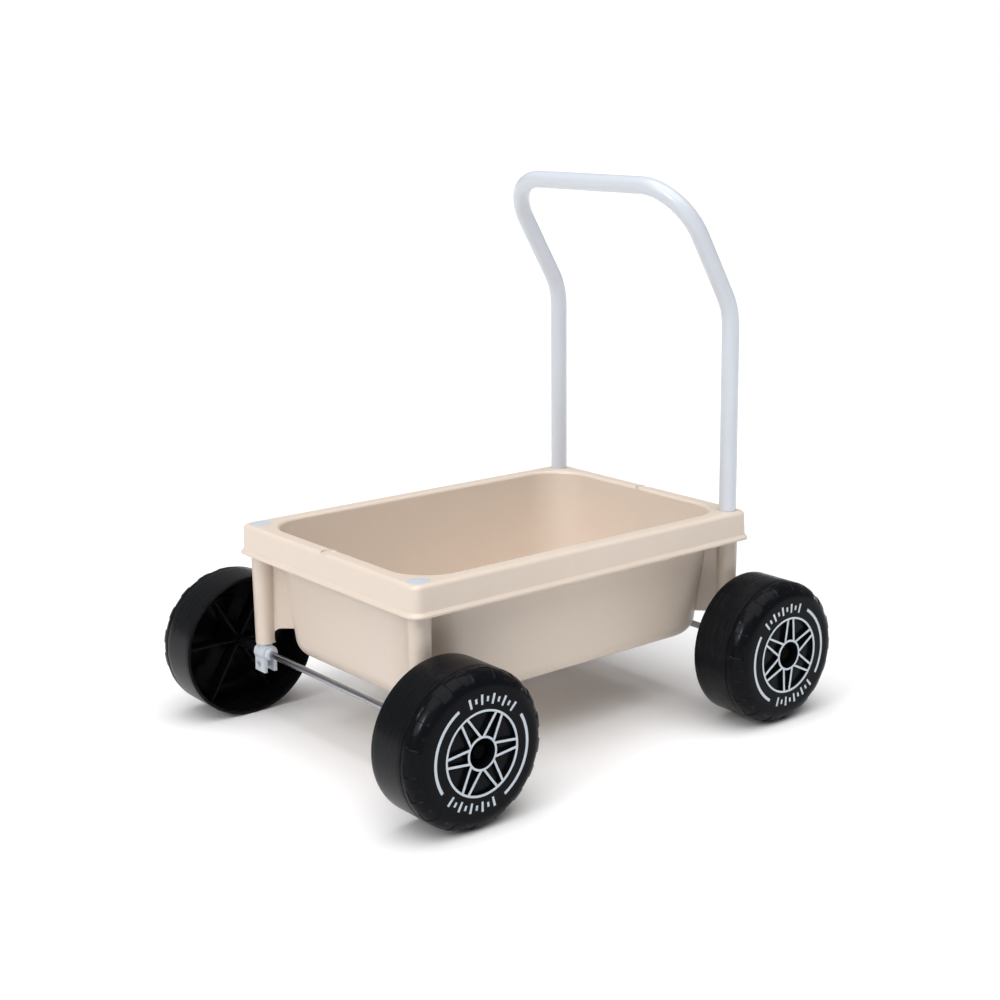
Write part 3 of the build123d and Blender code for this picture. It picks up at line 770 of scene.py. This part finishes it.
parts = add(face_marks, "ShaderNodeSeparateXYZ")
face_marks.links.new(given["Place"], parts.inputs[0])
across, out, up = (maths(face_marks, "MULTIPLY", parts.outputs[axis], 1.0 / MM) for axis in "XYZ")
squares = (maths(face_marks, "MULTIPLY", value, value) for value in (across, up))
radius = maths(face_marks, "SQRT", maths(face_marks, "ADD", *squares))
angle = maths(face_marks, "MULTIPLY", maths(face_marks, "ARCTAN2", up, across), 180.0 / math.pi)
arc_turn = folded(face_marks, angle, ARC_MIDDLE, 90.0)
arc = maths(face_marks, "MULTIPLY",
            within(face_marks, maths(face_marks, "SUBTRACT", radius, ARC_RADIUS), ARC_HALF, SOFT_MM),
            within(face_marks, arc_turn, ARC_SPAN, SOFT_DEGREES))
tick_turn = folded(face_marks, angle, ARC_MIDDLE + 90.0, 90.0)
every_tick = folded(face_marks, tick_turn, 0.0, TICK_PITCH / 2)
every_other = folded(face_marks, tick_turn, 0.0, TICK_PITCH)
long_tick = within(face_marks, every_other, TICK_PITCH / 2, HARD_DEGREES)
reach = maths(face_marks, "MULTIPLY_ADD", long_tick, TICK_HALF_LONG - TICK_HALF_SHORT, TICK_HALF_SHORT)
tick_length = within(face_marks, maths(face_marks, "SUBTRACT", radius, TICK_RADIUS), reach, SOFT_MM)
sideways = maths(face_marks, "MULTIPLY", every_tick, math.radians(TICK_RADIUS))
tick_width = within(face_marks, sideways, TICK_HALF_WIDTH, SOFT_MM)
tick = maths(face_marks, "MULTIPLY", maths(face_marks, "MULTIPLY", tick_length, tick_width),
             within(face_marks, tick_turn, TICK_SPAN, SOFT_DEGREES))
on_face = maths(face_marks, "GREATER_THAN", out, top_mm - PROUD - FACE_DEPTH)
drawn = maths(face_marks, "MULTIPLY", maths(face_marks, "MAXIMUM", arc, tick), on_face)
face_marks.links.new(drawn, result["Mask"])
print("made", face_marks.name)

# %% Cover plastic
RIDGE_THRESHOLD, RIDGE_STEEPNESS = 0.8, 8.0
cover_plastic, tree, shader, where = finish_base("wheel_cover_plastic", "wheel_place")
texture = use(tree, skin, where, Grain_size=0.0007, Cloud_size=0.03)
soft = use(tree, edges, Radius=0.0003)
scratched = use(tree, scuffs, where, Stretch=(160.0, 160.0, 700.0), Threshold=0.62)
dark = blend(tree, texture.outputs["Cloud"], linear(12, 13, 16), linear(15, 16, 20))
worn = maths(tree, "MAXIMUM", maths(tree, "MULTIPLY", soft.outputs["Rubbed"], 0.25),
             maths(tree, "MULTIPLY", scratched.outputs["Mask"], 0.12))
black = blend(tree, worn, dark, linear(58, 58, 62))
ridge_top = add(tree, "ShaderNodeAttribute", attribute_name="ridge").outputs["Fac"]
ridge_mask = maths(tree, "SUBTRACT", ridge_top, RIDGE_THRESHOLD)
ridge_mask = maths(tree, "MULTIPLY", ridge_mask, RIDGE_STEEPNESS, clamp=True)
marks_on = use(tree, face_marks, where)
pale_mask = maths(tree, "MAXIMUM", ridge_mask, marks_on.outputs["Mask"])
chipped = maths(tree, "MULTIPLY_ADD", scratched.outputs["Mask"], -0.5, 1.0)
printed = blend(tree, texture.outputs["Cloud"], linear(203, 211, 219), linear(194, 202, 210))
colour = blend(tree, maths(tree, "MULTIPLY", pale_mask, chipped), black, printed)
tree.links.new(colour, shader.inputs["Base Color"])
tree.links.new(maths(tree, "MULTIPLY_ADD", scratched.outputs["Mask"], 0.12, 0.22), shader.inputs["Roughness"])
grainy = maths(tree, "MULTIPLY", texture.outputs["Height"], 0.3)
raised = maths(tree, "ADD", grainy, marks_on.outputs["Mask"])
tree.links.new(bump(tree, raised, soft.outputs["Normal"], 0.3, 0.0001), shader.inputs["Normal"])
shader.inputs["Specular IOR Level"].default_value = 0.07
print("made", cover_plastic.name)

# %% [markdown]
# ## Giving each piece its finish
# The record names a material slot for every engineering node. Each node keeps its mesh
# and gets the finish of that name; the new wheel pieces get theirs directly.

# %% Assign the finishes
finishes = {
    "tub_plastic": tub_plastic, "handle_paint": handle_paint, "plug_plastic": plug_plastic,
    "clip_plastic": clip_plastic, "axle_steel": axle_steel, "cap_plastic": cap_plastic,
    "wheel_drum_plastic": drum_plastic, "wheel_cover_plastic": cover_plastic}
for part in frame["record"]["subparts"]:
    for material_slot in nodes[part["node"]].material_slots:
        material_slot.material = finishes[part["material_slot"]]
for corner in CORNERS:
    covers[corner].data.materials.append(cover_plastic)
    drums[corner].data.materials.append(drum_plastic)
print("finished", len(nodes), "nodes and", len(covers) + len(drums), "wheel pieces")

# %% [markdown]
# ## Floor, light and camera
# The wagon stands on a plain pale floor. The light is a soft studio: a dim white surround,
# a strong and very soft lamp overhead, and a weaker one before the front end, so that the
# front wall is lighter than the long side. A tall strip lamp shows only in reflections and
# draws the sheen on the black wheels. The background behind the wagon is plain white.


# %% Floor
def flat_floor(size):
    """A square of the given half size at floor level."""
    mesh = bpy.data.meshes.new("floor")
    corners = [(-size, -size, 0.0), (size, -size, 0.0), (size, size, 0.0), (-size, size, 0.0)]
    mesh.from_pydata(corners, [], [(0, 1, 2, 3)])
    piece = bpy.data.objects.new("floor", mesh)
    bpy.context.collection.objects.link(piece)
    return piece


FLOOR_HALF = 40.0
floor = flat_floor(FLOOR_HALF)
floor_paint, tree, shader, where = finish_base("floor_paint")
paper = use(tree, skin, where, Grain_size=0.002, Cloud_size=0.8)
tree.links.new(blend(tree, paper.outputs["Cloud"], linear(249, 249, 250), linear(246, 246, 247)),
               shader.inputs["Base Color"])
shader.inputs["Roughness"].default_value = 0.9
floor.data.materials.append(floor_paint)

# %% Light
scene = bpy.context.scene
scene.view_settings.view_transform = "Standard"
surround = bpy.data.worlds.new("surround")
surround.use_nodes = True
tree = surround.node_tree
sky = tree.nodes["Background"]
sky.inputs["Color"].default_value = (1.0, 1.0, 1.0, 1.0)
ray = tree.nodes.new("ShaderNodeLightPath").outputs
SURROUND, REFLECTED_MORE = 0.26, 0.02
strength = maths(tree, "MULTIPLY_ADD", ray["Is Camera Ray"], 1.0 - SURROUND, SURROUND)
strength = maths(tree, "MULTIPLY_ADD", ray["Is Glossy Ray"], REFLECTED_MORE, strength)
tree.links.new(strength, sky.inputs["Strength"])
scene.world = surround


def hold(name, lamp, place):
    """An object that holds the lamp at a place and points it at the wagon."""
    holder = bpy.data.objects.new(name, lamp)
    bpy.context.collection.objects.link(holder)
    holder.location = place
    holder.rotation_euler = (-Vector(place)).to_track_quat("-Z", "Y").to_euler()
    return holder


def soft_sun(name, place, power, spread):
    """A sun lamp shining from a place towards the wagon, its disc spread over that many degrees."""
    lamp = bpy.data.lights.new(name, "SUN")
    lamp.energy = power
    lamp.angle = math.radians(spread)
    return hold(name, lamp, place)


def strip_box(name, place, width, height, power):
    """A tall soft lamp that shows only in reflections, as a sheen on the dark plastic."""
    lamp = bpy.data.lights.new(name, "AREA")
    lamp.shape = "RECTANGLE"
    lamp.size, lamp.size_y, lamp.energy = width, height, power
    lamp.color = (0.88, 0.94, 1.0)
    holder = hold(name, lamp, place)
    holder.visible_diffuse = False
    holder.visible_camera = False
    return holder


soft_sun("front_light", (2.2, 0.1, 1.4), power=0.98, spread=30.0)
soft_sun("top_light", (0.3, 0.45, 2.4), power=2.8, spread=70.0)
strip_box("sheen_light", (1.95, 0.85, 1.35), width=0.14, height=0.55, power=22.0)

# %% [markdown]
# The camera looks at the wagon from the front left and a little from above, through a
# long lens. A small shift of the lens places the wagon in the frame.

# %% Camera
AZIMUTH, ELEVATION, ROLL = (math.radians(value) for value in (138.263, 11.117, 0.136))
CAMERA_PLACE = (0.91747, 1.16258, 0.56095)
back = Vector((math.sin(AZIMUTH) * math.cos(ELEVATION),
               -math.cos(AZIMUTH) * math.cos(ELEVATION), math.sin(ELEVATION)))
right = Vector((math.cos(AZIMUTH), math.sin(AZIMUTH), 0.0))
above = back.cross(right)
rolled_right = right * math.cos(ROLL) + above * math.sin(ROLL)
rolled_above = above * math.cos(ROLL) - right * math.sin(ROLL)
turned_camera = Matrix((rolled_right, rolled_above, back)).transposed().to_4x4()
turned_camera.translation = Vector(CAMERA_PLACE)
lens = bpy.data.cameras.new("camera")
lens.sensor_width = 36.0
lens.lens = 60.292
lens.shift_x = -0.0967
lens.shift_y = -0.0754
camera = bpy.data.objects.new("camera", lens)
bpy.context.collection.objects.link(camera)
camera.matrix_world = turned_camera
scene.camera = camera
print("camera at", [round(value, 4) for value in camera.matrix_world.translation])
